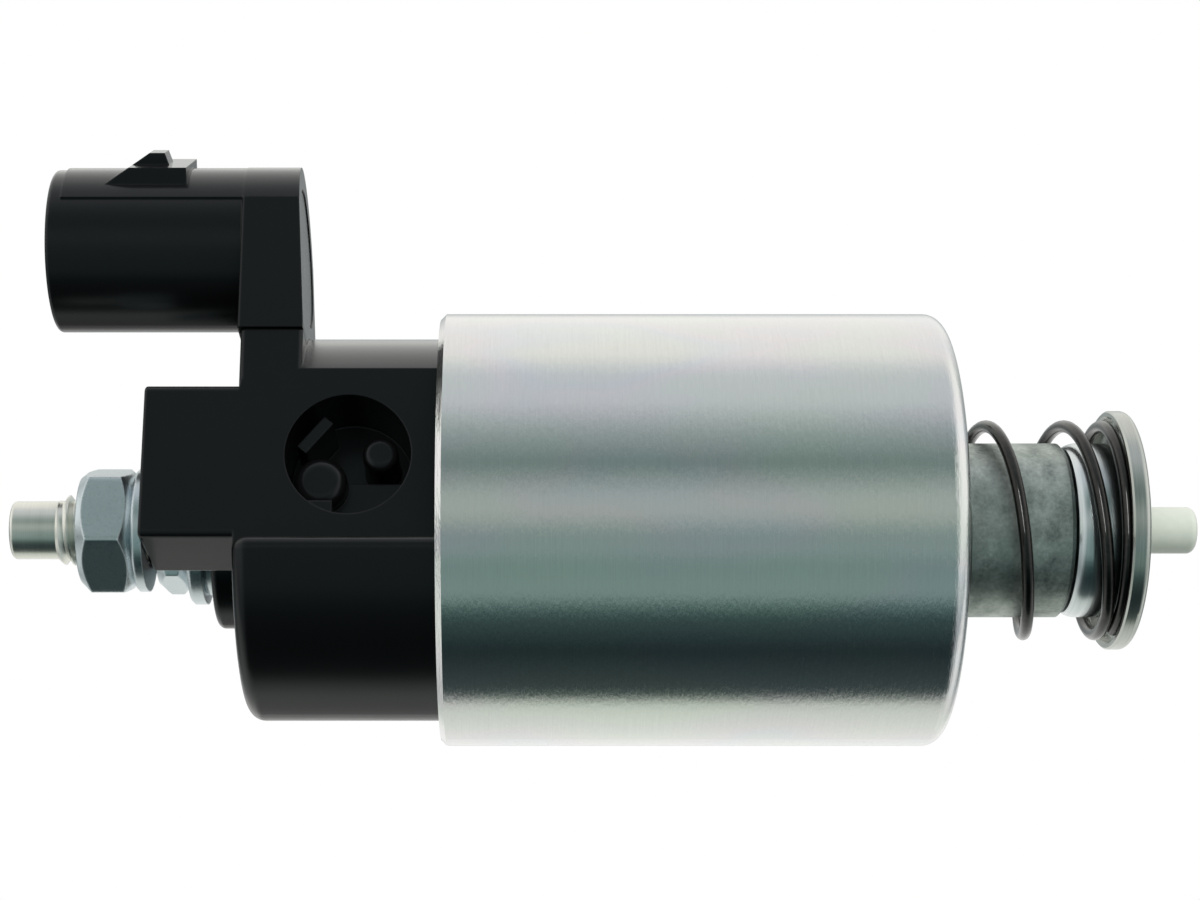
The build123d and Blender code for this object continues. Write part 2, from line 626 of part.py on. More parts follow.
def back_cover_shape(gap, mouth=0.0):
    """The round plate let into the connector's leaning rear face, grown by a gap and towards the outside."""
    height = PLUG_Z + ROOF_RADIUS - STALK_TOP_Z
    lean = math.degrees(math.atan2(BODY_REAR_FOOT_X - BODY_REAR_TOP_X, height))
    middle_z = PLUG_Z - BACK_COVER_DROP
    middle_x = BODY_REAR_FOOT_X + (BODY_REAR_TOP_X - BODY_REAR_FOOT_X) * (middle_z - STALK_TOP_Z) / height
    plate = Cylinder(ROOF_RADIUS - BACK_COVER_MARGIN + gap, BACK_COVER_THICKNESS + gap + mouth)
    sunk = Pos(0, 0, (mouth - gap - BACK_COVER_THICKNESS) / 2 - BACK_COVER_SUNK)
    return Pos(middle_x, PLUG_Y, middle_z) * Rot(0, 90 - lean, 0) * sunk * plate


def connector_back_cover():
    cover = back_cover_shape(0)
    outer_edge = cover.edges().filter_by(GeomType.CIRCLE).sort_by(Axis.X)[-1]
    return chamfer(outer_edge, BACK_COVER_BEVEL)


def signal_terminal():
    arm = blade_arm(0)
    tip = arm.faces().sort_by(Axis.X)[0]
    long_edges = tip.edges().sort_by(Edge.length)[2:]
    return chamfer(long_edges, BLADE_TIP_CHAMFER) + blade_leg(0)


def stud(y, z, seat_x, thread_length, pilot_length):
    """A terminal stud: contact head in the chamber, shank in the moulding, thread outside, plain pilot tip."""
    head = tube_along_x(CONTACT_HEAD_RADIUS, CHAMBER_END_X, HEAD_FACE_X, y=y, z=z)
    head -= tube_along_x(HUB_CLEAR_RADIUS, CHAMBER_END_X - 1, HEAD_FACE_X + 1)
    thread_end_x = seat_x - thread_length
    body = head + tube_along_x(STUD_SHANK_RADIUS, seat_x, CHAMBER_END_X, y=y, z=z)
    thread = tube_along_x(STUD_THREAD_RADIUS, thread_end_x, seat_x, y=y, z=z)
    if pilot_length:
        tip_x = thread_end_x - pilot_length
        tip = tube_along_x(PILOT_RADIUS, tip_x, thread_end_x, y=y, z=z)
        thread += fillet(circle_edges(tip, tip_x, PILOT_RADIUS), PILOT_END_RADIUS)
    else:
        thread = chamfer(circle_edges(thread, thread_end_x, STUD_THREAD_RADIUS), THREAD_END_CHAMFER)
    return body + thread


def b_plus_stud():
    return stud(B_STUD_Y, B_STUD_Z, BLOCK_FACE_X, B_THREAD_LENGTH, PILOT_LENGTH)


def m_stud():
    return stud(M_STUD_Y, M_STUD_Z, BOSS_FACE_X, M_THREAD_LENGTH, 0)


def hex_nut(flats, thickness, seat_x, y, z, turn):
    """A hexagon nut, bevelled all round at both faces and turned down at its corners."""
    corner_radius = flats / math.sqrt(3)
    x_low = seat_x - thickness
    sketch_plane = Plane(origin=(x_low, y, z), x_dir=(0, 1, 0), z_dir=(1, 0, 0))
    nut = extrude(sketch_plane * RegularPolygon(corner_radius, 6, rotation=turn), thickness)
    corner_rise = NUT_BEVEL + (corner_radius - flats / 2) * NUT_CORNER_SLOPE
    profile = [
        (x_low, 0),
        (x_low, flats / 2 - NUT_BEVEL),
        (x_low + NUT_BEVEL, flats / 2),
        (x_low + corner_rise, corner_radius + SEAT_GAP),
        (seat_x - corner_rise, corner_radius + SEAT_GAP),
        (seat_x - NUT_BEVEL, flats / 2),
        (seat_x, flats / 2 - NUT_BEVEL),
        (seat_x, 0),
    ]
    nut &= Pos(0, y, z) * revolve_profile(profile)
    return nut - tube_along_x(STUD_THREAD_RADIUS + SEAT_GAP, x_low - 1, seat_x + 1, y=y, z=z)


def b_plus_nut():
    seat_x = BLOCK_FACE_X - B_WASHER_THICKNESS
    return hex_nut(B_NUT_FLATS, B_NUT_THICKNESS, seat_x, B_STUD_Y, B_STUD_Z, B_NUT_TURN)


def washer(radius, thickness, seat_x, y, z):
    ring = tube_along_x(radius, seat_x - thickness, seat_x, bore=STUD_THREAD_RADIUS + 2 * SEAT_GAP, y=y, z=z)
    outer_edge = circle_edges(ring, seat_x - thickness, radius)
    return chamfer(outer_edge, thickness / 5)


def b_plus_washer():
    return washer(B_WASHER_RADIUS, B_WASHER_THICKNESS, BLOCK_FACE_X, B_STUD_Y, B_STUD_Z)


def m_flat_washer():
    return washer(M_FLAT_WASHER_RADIUS, M_FLAT_WASHER_THICKNESS, BOSS_FACE_X, M_STUD_Y, M_STUD_Z)


def m_spring_washer():
    seat_x = BOSS_FACE_X - M_FLAT_WASHER_THICKNESS
    ring = washer(M_SPRING_WASHER_RADIUS, M_SPRING_WASHER_THICKNESS, seat_x, M_STUD_Y, M_STUD_Z)
    bore_radius = STUD_THREAD_RADIUS + 2 * SEAT_GAP
    width = M_SPRING_WASHER_RADIUS - bore_radius
    middle = Pos(seat_x - M_SPRING_WASHER_THICKNESS / 2, M_STUD_Y, M_STUD_Z + bore_radius + width / 2)
    cut = Box(3 * M_SPRING_WASHER_THICKNESS, SPRING_WASHER_SPLIT, 2 * width)
    return ring - middle * Rot(0, 0, SPRING_WASHER_LEAN) * cut


def m_nut():
    seat_x = BOSS_FACE_X - M_FLAT_WASHER_THICKNESS - M_SPRING_WASHER_THICKNESS
    return hex_nut(M_NUT_FLATS, M_NUT_THICKNESS, seat_x, M_STUD_Y, M_STUD_Z, M_NUT_TURN)


def pull_in_lead():
    y, z = M_LEAD
    return tube_along_x(LEAD_RADIUS, HEAD_FACE_X, WINDING_REAR_X, y=y, z=z)


def hold_in_lead():
    y, z = S_LEAD
    return tube_along_x(LEAD_RADIUS, BLADE_LEG_X + BLADE_THICKNESS, WINDING_REAR_X, y=y, z=z)


def plunger():
    body = tube_along_x(PLUNGER_RADIUS, PLUNGER_REAR_X, PLUNGER_FRONT_X)
    body = chamfer(circle_edges(body, PLUNGER_FRONT_X, PLUNGER_RADIUS), PLUNGER_CHAMFER)
    body = chamfer(circle_edges(body, PLUNGER_REAR_X, PLUNGER_RADIUS), PLUNGER_CHAMFER)
    body += tube_along_x(NECK_RADIUS, PLUNGER_FRONT_X, HAT_BACK_X)
    socket_x = HAT_BACK_X - PIN_SHANK_LENGTH
    return body - tube_along_x(PIN_SHANK_RADIUS + SEAT_GAP, socket_x - SEAT_GAP, HAT_BACK_X + 1)


def plunger_collar():
    """The ring between the plunger and the hat, with a swelling shoulder towards the plunger."""
    bore = NECK_RADIUS + SEAT_GAP
    start = (COLLAR_X, 0, PLUNGER_RADIUS - COLLAR_SHOULDER_DROP)
    swell = (
        COLLAR_X + COLLAR_SHOULDER_LENGTH / 3,
        0,
        PLUNGER_RADIUS - COLLAR_SHOULDER_DROP / 3,
    )
    full = (COLLAR_X + COLLAR_SHOULDER_LENGTH, 0, PLUNGER_RADIUS)
    straight = Polyline(full, (HAT_PLATE_X, 0, PLUNGER_RADIUS), (HAT_PLATE_X, 0, bore), (COLLAR_X, 0, bore), start)
    return revolve(make_face([ThreePointArc(start, swell, full), straight]), Axis.X, 360)


def spring_hat():
    rim_x = HAT_BACK_X - HAT_DEPTH
    hat = tube_along_x(HAT_RADIUS, rim_x, HAT_BACK_X)
    hat = fillet(circle_edges(hat, HAT_BACK_X, HAT_RADIUS), HAT_BACK_ROUND)
    hat -= tube_along_x(HAT_RADIUS - HAT_RIM, rim_x - 1, HAT_PLATE_X)
    rim_edges = circle_edges(hat, rim_x, HAT_RADIUS) + circle_edges(hat, rim_x, HAT_RADIUS - HAT_RIM)
    hat = chamfer(rim_edges, HAT_FRONT_CHAMFER)
    return hat - tube_along_x(NECK_RADIUS + SEAT_GAP, HAT_PLATE_X - 1, HAT_BACK_X + 1)


def push_pin():
    """The pin, with a thinner shank in the plunger and a shoulder on the plunger's end."""
    end_x = HAT_BACK_X + PIN_PROUD
    head = tube_along_x(PIN_RADIUS, HAT_BACK_X, end_x)
    head = fillet(circle_edges(head, end_x, PIN_RADIUS), PIN_END_RADIUS)
    return head + tube_along_x(PIN_SHANK_RADIUS, HAT_BACK_X - PIN_SHANK_LENGTH, HAT_BACK_X)


def return_spring():
    start_x = SEAT_GAP - SPRING_SEAT_DEPTH
    end_x = HAT_PLATE_X - SEAT_GAP
    start_angle = SPRING_RISE_ANGLE - 360 * SPRING_CLOSED_TURNS
    return coil_spring(
        SPRING_MEAN_RADIUS, SPRING_WIRE_RADIUS, start_x, end_x, SPRING_OPEN_TURNS, start_angle, SPRING_CLOSED_TURNS
    )


def contact_rod():
    rod = tube_along_x(ROD_RADIUS, ROD_REAR_X, ROD_FRONT_X)
    rod += tube_along_x(ROD_COLLAR_RADIUS, COLLAR_REAR_X, COLLAR_FRONT_X)
    groove = tube_along_x(2 * ROD_RADIUS, CLIP_REAR_X - SEAT_GAP, WASHER_REAR_X, bore=CLIP_GROOVE_RADIUS)
    return rod - groove


def contact_disc():
    return tube_along_x(DISC_RADIUS, DISC_REAR_X, DISC_FRONT_X, bore=SLEEVE_RADIUS + SEAT_GAP)


def front_insulator():
    collar = tube_along_x(FRONT_FLANGE_RADIUS, DISC_FRONT_X, INSULATOR_FRONT_X)
    collar += tube_along_x(SLEEVE_RADIUS, DISC_REAR_X, DISC_FRONT_X)
    return collar - tube_along_x(ROD_RADIUS + SEAT_GAP, DISC_REAR_X - 1, INSULATOR_FRONT_X + 1)


def rear_insulator():
    return tube_along_x(REAR_FLANGE_RADIUS, INSULATOR_REAR_X, DISC_REAR_X, bore=ROD_RADIUS + SEAT_GAP)


def contact_washer():
    return tube_along_x(REAR_FLANGE_RADIUS, WASHER_REAR_X, INSULATOR_REAR_X, bore=ROD_RADIUS + SEAT_GAP)


def contact_clip():
    clip = tube_along_x(CLIP_RADIUS, CLIP_REAR_X, WASHER_REAR_X, bore=CLIP_GROOVE_RADIUS + SEAT_GAP)
    mouth = block(CLIP_REAR_X - 1, WASHER_REAR_X + 1, -CLIP_GROOVE_RADIUS, CLIP_GROOVE_RADIUS, 0, CLIP_RADIUS + 1)
    return clip - mouth


def contact_spring():
    mean_radius = ROD_RADIUS + WIRE_GAP + CONTACT_SPRING_WIRE + CONTACT_SPRING_SLACK
    return coil_spring(
        mean_radius, CONTACT_SPRING_WIRE, INSULATOR_FRONT_X, COLLAR_REAR_X, CONTACT_SPRING_TURNS
    )


def contact_return_spring():
    return coil_spring(
        REAR_SPRING_RADIUS, CONTACT_SPRING_WIRE, CENTRE_BORE_END_X, WASHER_REAR_X, REAR_SPRING_TURNS
    )


PIECES = [
    solenoid_case,
    pole_plate,
    plunger_guide_tube,
    bobbin,
    pull_in_winding,
    hold_in_winding,
    winding_wrap,
    rear_yoke_plate,
    fixed_core,
    rod_bushing,
    cap_gasket,
    terminal_cap,
    connector_housing,
    connector_back_cover,
    signal_terminal,
    b_plus_stud,
    b_plus_nut,
    b_plus_washer,
    m_stud,
    m_nut,
    m_flat_washer,
    m_spring_washer,
    pull_in_lead,
    hold_in_lead,
    plunger,
    plunger_collar,
    spring_hat,
    push_pin,
    return_spring,
    contact_rod,
    contact_disc,
    front_insulator,
    rear_insulator,
    contact_washer,
    contact_clip,
    contact_spring,
    contact_return_spring,
]


def main():
    os.makedirs("parts", exist_ok=True)
    for make in PIECES:
        name = make.__name__
        solid = make()
        solid.label = name
        export_step(solid, f"parts/{name}.step")


main()
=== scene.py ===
# %% [markdown]
# # Starter solenoid
# The part is a drawn steel can with a sprung plunger at one end and a black moulded terminal cap at the
# other. The frame holds every piece at its real size, so this script adds the finishes, the coil springs,
# the screw threads, the nuts, the light and the camera. Lengths are in metres, and +X runs out along
# the plunger.

# %% Load the frame
import json
import math

import bmesh
import bpy
from mathutils import Matrix, Vector


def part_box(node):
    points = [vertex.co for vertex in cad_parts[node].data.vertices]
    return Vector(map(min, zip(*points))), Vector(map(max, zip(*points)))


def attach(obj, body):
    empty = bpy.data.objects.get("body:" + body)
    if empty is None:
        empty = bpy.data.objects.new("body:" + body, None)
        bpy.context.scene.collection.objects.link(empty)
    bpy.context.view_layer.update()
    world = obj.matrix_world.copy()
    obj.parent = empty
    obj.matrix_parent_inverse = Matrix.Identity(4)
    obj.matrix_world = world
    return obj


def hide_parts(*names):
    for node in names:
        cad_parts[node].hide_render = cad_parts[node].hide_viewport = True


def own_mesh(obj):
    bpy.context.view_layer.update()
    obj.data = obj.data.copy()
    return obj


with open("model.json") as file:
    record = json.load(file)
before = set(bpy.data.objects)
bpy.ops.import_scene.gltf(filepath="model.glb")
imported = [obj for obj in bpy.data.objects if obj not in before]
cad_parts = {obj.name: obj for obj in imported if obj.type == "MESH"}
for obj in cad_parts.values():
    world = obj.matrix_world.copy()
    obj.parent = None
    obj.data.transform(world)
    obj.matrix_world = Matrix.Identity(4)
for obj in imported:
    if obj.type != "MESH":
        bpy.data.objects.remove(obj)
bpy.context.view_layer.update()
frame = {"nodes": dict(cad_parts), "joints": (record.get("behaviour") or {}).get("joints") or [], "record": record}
MM = 0.001

# %% [markdown]
# ## The camera
# The photograph was taken square to the plunger's line, with the part rolled a little, so that the camera
# sees the flat front of the cap from slightly below. One could turn the camera towards the middle of the
# part, but then the can's long edges would lean. A lens shift keeps them level, as the photograph has them.

# %% Camera
PHOTO_WIDTH = 1200
PHOTO_HEIGHT = 900
PIXELS_PER_MM = 8.6
CAMERA_REACH_PIXELS = 2440
CAN_FACE_PIXEL_X = 935
OPTICAL_PIXEL_X = 524
OPTICAL_PIXEL_Y = 575
AXIS_PIXEL_Y = 530.4
VIEW_ELEVATION = math.radians(-18)
SENSOR_MM = 36
CLIP_NEAR = 0.01
CLIP_FAR = 10

towards_camera = Vector((0, -math.cos(VIEW_ELEVATION), math.sin(VIEW_ELEVATION)))
picture_up = Vector((0, math.sin(VIEW_ELEVATION), math.cos(VIEW_ELEVATION)))
pixel = MM / PIXELS_PER_MM
camera_data = bpy.data.cameras.new("photo_camera")
camera_data.sensor_width = SENSOR_MM
camera_data.lens = SENSOR_MM * CAMERA_REACH_PIXELS / PHOTO_WIDTH
camera_data.shift_x = (PHOTO_WIDTH / 2 - OPTICAL_PIXEL_X) / PHOTO_WIDTH
camera_data.shift_y = (OPTICAL_PIXEL_Y - PHOTO_HEIGHT / 2) / PHOTO_WIDTH
camera_data.clip_start = CLIP_NEAR
camera_data.clip_end = CLIP_FAR
camera = bpy.data.objects.new("photo_camera", camera_data)
camera.location = (
    Vector(((OPTICAL_PIXEL_X - CAN_FACE_PIXEL_X) * pixel, 0, 0))
    + towards_camera * CAMERA_REACH_PIXELS * pixel
    - picture_up * (OPTICAL_PIXEL_Y - AXIS_PIXEL_Y) * pixel
)
camera.rotation_euler = (math.pi / 2 - VIEW_ELEVATION, 0, 0)
bpy.context.collection.objects.link(camera)
bpy.context.scene.camera = camera
bpy.context.scene.view_settings.view_transform = "Standard"
print("camera lens", round(camera_data.lens, 1), "mm at", tuple(round(c, 3) for c in camera.location))

# %% [markdown]
# ## Writing shader maths
# A finish is a small sum over positions and noise. Wiring each Math node by hand hides the sum, so one
# class wraps a socket and lets Python's own operators add the nodes.


# %% A socket that understands operators
class Wire:
    """A shader socket on which + - * and / add Math nodes."""

    def __init__(self, tree, socket):
        self.tree = tree
        self.socket = socket

    def maths(self, operation, *others, first=True):
        node = self.tree.nodes.new("ShaderNodeMath")
        node.operation = operation
        values = [self, *others] if first else [*others, self]
        for place, value in zip(node.inputs, values):
            connect(self.tree, place, value)
        return Wire(self.tree, node.outputs[0])

    def clamped(self):
        """The same value, held between 0 and 1."""
        return self.maths("MAXIMUM", 0).maths("MINIMUM", 1)

    def __add__(self, other):
        return self.maths("ADD", other)

    __radd__ = __add__

    def __mul__(self, other):
        return self.maths("MULTIPLY", other)

    __rmul__ = __mul__

    def __sub__(self, other):
        return self.maths("SUBTRACT", other)

    def __rsub__(self, other):
        return self.maths("SUBTRACT", other, first=False)

    def __truediv__(self, other):
        return self.maths("DIVIDE", other)


def connect(tree, place, value):
    """Feeds a socket from a wire or sets its own value."""
    if isinstance(value, Wire):
        tree.links.new(value.socket, place)
    elif isinstance(value, (tuple, list)) and len(value) == 3 and len(place.default_value) == 4:
        place.default_value = (*value, 1)
    else:
        place.default_value = value


def add_node(tree, kind, settings=None, inputs=None, output=0):
    """Adds a node, sets its settings, then feeds its sockets by name or number."""
    node = tree.nodes.new(kind)
    for name, value in (settings or {}).items():
        setattr(node, name, value)
    for name, value in (inputs or {}).items():
        connect(tree, node.inputs[name], value)
    return Wire(tree, node.outputs[output])


def ramp(tree, factor, stops):
    """A colour ramp whose stops are (position, colour) pairs."""
    node = tree.nodes.new("ShaderNodeValToRGB")
    band = node.color_ramp
    while len(band.elements) < len(stops):
        band.elements.new(0.5)
    for element, (position, colour) in zip(band.elements, stops):
        element.position = position
        element.color = (*colour, 1)
    connect(tree, node.inputs[0], factor)
    return Wire(tree, node.outputs[0])


# %% [markdown]
# ## The light
# The part was photographed in a white box: white behind, above and below it, and darker towards the lens.
# A round metal can mirrors that as bands, pale at its top and bottom edges and dark between. The world
# itself carries those bands, as a ramp over the angle round the can's axis, and the camera sees it white.

# %% World
LIGHT_BANDS = (
    (-180, (0.42, 0.45, 0.45)),
    (-174, (0.70, 0.72, 0.71)),
    (-166, (1.0, 1.0, 0.98)),
    (-112, (0.68, 0.71, 0.67)),
    (-104, (0.58, 0.62, 0.57)),
    (-98, (0.05, 0.07, 0.07)),
    (-66, (0.015, 0.026, 0.028)),
    (-47, (0.04, 0.07, 0.07)),
    (-41, (0.09, 0.15, 0.14)),
    (-35, (0.21, 0.29, 0.28)),
    (-18, (0.18, 0.26, 0.25)),
    (-11, (0.24, 0.31, 0.31)),
    (-4, (0.22, 0.29, 0.29)),
    (8, (0.40, 0.44, 0.42)),
    (17, (0.38, 0.43, 0.42)),
    (34, (0.16, 0.22, 0.21)),
    (50, (0.30, 0.36, 0.36)),
    (69, (0.57, 0.60, 0.63)),
    (88, (0.60, 0.63, 0.66)),
    (104, (0.88, 0.87, 0.85)),
    (152, (1.0, 1.0, 0.96)),
    (166, (0.52, 0.55, 0.55)),
    (174, (0.42, 0.45, 0.45)),
)
SIDE_BANDS = (
    (-180, (0.12, 0.15, 0.15)),
    (-150, (0.22, 0.25, 0.25)),
    (-125, (0.78, 0.80, 0.78)),
    (-95, (0.84, 0.86, 0.84)),
    (-70, (0.34, 0.38, 0.38)),
    (-25, (0.74, 0.77, 0.76)),
    (20, (0.92, 0.93, 0.92)),
    (60, (1.0, 1.0, 0.98)),
    (120, (1.0, 1.0, 0.98)),
    (150, (0.45, 0.48, 0.48)),
    (180, (0.12, 0.15, 0.15)),
)
WORLD_STRENGTH = 1.0
SIDE_START = 0.4
SIDE_FADE = 0.3

world = bpy.data.worlds.new("white_box")
bpy.context.scene.world = world
world.use_nodes = True
tree = world.node_tree
tree.nodes.clear()
direction = add_node(tree, "ShaderNodeTexCoord")


def along(axis):
    """How far the looked-in direction goes along an axis."""
    ends = {0: direction, 1: tuple(axis)}
    return add_node(tree, "ShaderNodeVectorMath", {"operation": "DOT_PRODUCT"}, ends, output="Value")


angle = along(picture_up).maths("ARCTAN2", along(towards_camera))
turn = angle / (2 * math.pi) + 0.5
bands, side_bands = (
    ramp(tree, turn, [(degrees / 360 + 0.5, colour) for degrees, colour in stops])
    for stops in (LIGHT_BANDS, SIDE_BANDS)
)
sideways = ((along((1, 0, 0)).maths("ABSOLUTE") - SIDE_START) / SIDE_FADE).clamped()
seen = add_node(tree, "ShaderNodeLightPath", output=0)
band_light, side_light, white_light = (
    add_node(tree, "ShaderNodeBackground", inputs={"Color": colour, "Strength": WORLD_STRENGTH})
    for colour in (bands, side_bands, (1, 1, 1))
)
mirrored = add_node(tree, "ShaderNodeMixShader", inputs={0: sideways, 1: band_light, 2: side_light})
mixed = add_node(tree, "ShaderNodeMixShader", inputs={0: seen, 1: mirrored, 2: white_light})
output = tree.nodes.new("ShaderNodeOutputWorld")
connect(tree, output.inputs["Surface"], mixed)
print("world has", len(tree.nodes), "nodes")

# %% [markdown]
# Matte pieces such as the white pin gather light from all of the box, which the dark bands of the world
# would leave out. One broad lamp behind the lens gives it back. Mirrors don't see the lamp, and it lights
# only the part, so that it leaves no bright pool on the floor.

# %% Fill light
FILL_RAISE = 0.6
FILL_DISTANCE = 0.8
FILL_SIZE = (0.7, 0.7)
FILL_WATTS = 3.2


def area_lamp(name, watts, size, way, distance, lit_pieces):
    """A flat lamp that faces the part and lights only the pieces given."""
    data = bpy.data.lights.new(name, "AREA")
    data.energy = watts
    data.shape = "RECTANGLE"
    data.size, data.size_y = size
    lamp = bpy.data.objects.new(name, data)
    lamp.location = way.normalized() * distance
    lamp.rotation_euler = lamp.location.to_track_quat("Z", "Y").to_euler()
    bpy.context.collection.objects.link(lamp)
    lit = bpy.data.collections.new("lit_by_" + name)
    for piece in lit_pieces:
        lit.objects.link(piece)
    lamp.light_linking.receiver_collection = lit
    return lamp


fill_way = towards_camera + picture_up * FILL_RAISE
fill = area_lamp("fill", FILL_WATTS, FILL_SIZE, fill_way, FILL_DISTANCE, frame["nodes"].values())
fill.visible_glossy = False

# %% [markdown]
# ## The floor
# The part is held up by its mounting face in use, so the floor lies well below it. The camera of the
# photograph looks up past the floor, and other views see it pale with a soft shadow.

# %% Floor
FLOOR_DROP = 0.15
FLOOR_HALF_WIDTH = 6.0
FLOOR_COLOUR = (0.9, 0.9, 0.9, 1)
FLOOR_ROUGHNESS = 0.9

floor_material = bpy.data.materials.new("pale_floor")
floor_material.use_nodes = True
floor_shader = floor_material.node_tree.nodes["Principled BSDF"]
floor_shader.inputs["Base Color"].default_value = FLOOR_COLOUR
floor_shader.inputs["Roughness"].default_value = FLOOR_ROUGHNESS
floor_mesh = bpy.data.meshes.new("floor")
bm = bmesh.new()
bmesh.ops.create_grid(bm, x_segments=1, y_segments=1, size=FLOOR_HALF_WIDTH)
bmesh.ops.translate(bm, verts=bm.verts, vec=(0, 0, -FLOOR_DROP))
bm.to_mesh(floor_mesh)
bm.free()
floor = bpy.data.objects.new("floor", floor_mesh)
floor_mesh.materials.append(floor_material)
bpy.context.collection.objects.link(floor)
floor.visible_glossy = False
floor.visible_diffuse = False


# %% [markdown]
# ## Finishes
# Each finish starts from a Principled shader with its plain numbers on its own sockets. What changes over
# the surface, such as brushing, speckle or moulding grain, is noise read at the piece's own coordinates.


# %% A shader to start from
BEVEL_SAMPLES = 6


def new_finish(name, base, metallic=0.0, roughness=0.5, specular=0.5):
    """A material with a Principled shader, returned with its tree and shader."""
    material = bpy.data.materials.new(name)
    material.use_nodes = True
    shader_tree = material.node_tree
    shader = shader_tree.nodes["Principled BSDF"]
    shader.inputs["Base Color"].default_value = (*base, 1)
    shader.inputs["Metallic"].default_value = metallic
    shader.inputs["Roughness"].default_value = roughness
    shader.inputs["Specular IOR Level"].default_value = specular
    return material, shader_tree, shader


def position(shader_tree, scale=(1, 1, 1)):
    """Object coordinates in millimetres, stretched by a scale."""
    here = add_node(shader_tree, "ShaderNodeTexCoord", output="Object")
    sizes = tuple(1000 * s for s in scale)
    return add_node(shader_tree, "ShaderNodeMapping", inputs={"Vector": here, "Scale": sizes})


def noise(shader_tree, vector, scale, detail=3.0, roughness=0.55):
    """Noise from 0 to 1."""
    inputs = {"Vector": vector, "Scale": scale, "Detail": detail, "Roughness": roughness}
    return add_node(shader_tree, "ShaderNodeTexNoise", inputs=inputs)


def between(shader_tree, factor, low, high):
    """A colour between two others."""
    return ramp(shader_tree, factor, [(0.0, low), (1.0, high)])


def bump(shader_tree, height, distance, normal=None):
    """A normal from a height in units of a distance in millimetres, on top of another normal if given."""
    inputs = {"Height": height, "Distance": distance * MM}
    if normal is not None:
        inputs["Normal"] = normal
    return add_node(shader_tree, "ShaderNodeBump", inputs=inputs)


def rounded_edges(shader_tree, radius):
    """A normal that turns over at a piece's edges, so that they catch the light."""
    return add_node(shader_tree, "ShaderNodeBevel", {"samples": BEVEL_SAMPLES}, {"Radius": radius})


def scaled(shader_tree, colour, by):
    """A colour made darker or lighter."""
    inputs = {0: colour, "Scale": by}
    return add_node(shader_tree, "ShaderNodeVectorMath", {"operation": "SCALE"}, inputs)


# %% [markdown]
# ## Zinc plate on the can
# The can is drawn from sheet, turned against fine abrasive and plated. The abrasive leaves hair lines that
# run round the can, so the noise is squeezed along the axis and drawn out round it.


# %% Brushed zinc
HAIR_LINES = (9.0, 0.12, 0.12)
PLATE_GRAIN = (3.2, 0.9, 0.9)
PLATE_CLOUDS = (0.035, 0.08, 0.08)
PASSIVATION_TINTS = (
    (0.30, (0.79, 0.83, 0.77)),
    (0.44, (0.80, 0.82, 0.79)),
    (0.52, (0.82, 0.80, 0.81)),
    (0.60, (0.78, 0.80, 0.82)),
    (0.72, (0.80, 0.82, 0.78)),
)


def zinc_plate():
    material, t, shader = new_finish("case_zinc_plate", (0.80, 0.83, 0.82), metallic=1.0, roughness=0.22)
    lines = noise(t, position(t, HAIR_LINES), 1.0, detail=4.0)
    grain = noise(t, position(t, PLATE_GRAIN), 1.0, roughness=0.7)
    broad = noise(t, position(t, PLATE_CLOUDS), 1.0, detail=2.0)
    tints = ramp(t, broad, PASSIVATION_TINTS)
    connect(t, shader.inputs["Base Color"], scaled(t, tints, 0.90 + lines * 0.12 + grain * 0.08))
    connect(t, shader.inputs["Roughness"], 0.07 + lines * 0.08 + grain * 0.06)
    connect(t, shader.inputs["Normal"], bump(t, lines * 0.3 + grain * 0.7, 0.04))
    return material


# %% [markdown]
# ## Black moulding
# Glass-filled nylon comes out of a polished tool with a satin gloss. It is nearly black, so what one sees
# of it is the sheen, and a very fine grain keeps that from looking like glass. Faces that look straight down
# get painted shade: they are made duller, as if they reflected dark ground. The specular level could change
# from place to place for that, but the export bakes only some sockets, so a shining and a dull shader are
# mixed by how far a face looks down. Faces that look up get a painted sheen from a coat that grows as they
# turn towards the sky.


# %% Black moulding
MOULDED_BLACK = (0.006, 0.006, 0.0065)
MOULDED_TINT = (0.88, 0.97, 1.0)
MOULDED_EDGE = 0.3 * MM
MOULDED_GRAIN = 0.006
# The specular and underside numbers set painted shade on faces that look down, and the sky sheen numbers a painted
# sheen on faces that look up.
SHINING_SPECULAR = 0.28
UNDERSIDE_SPECULAR = 0.04
UNDERSIDE_START = 0.96
UNDERSIDE_CURVE = 1.7
PAINTED_SKY_SHEEN = 1.6
SKY_SHEEN_IOR = 1.32
SKY_SHEEN_ROUGHNESS = 0.12


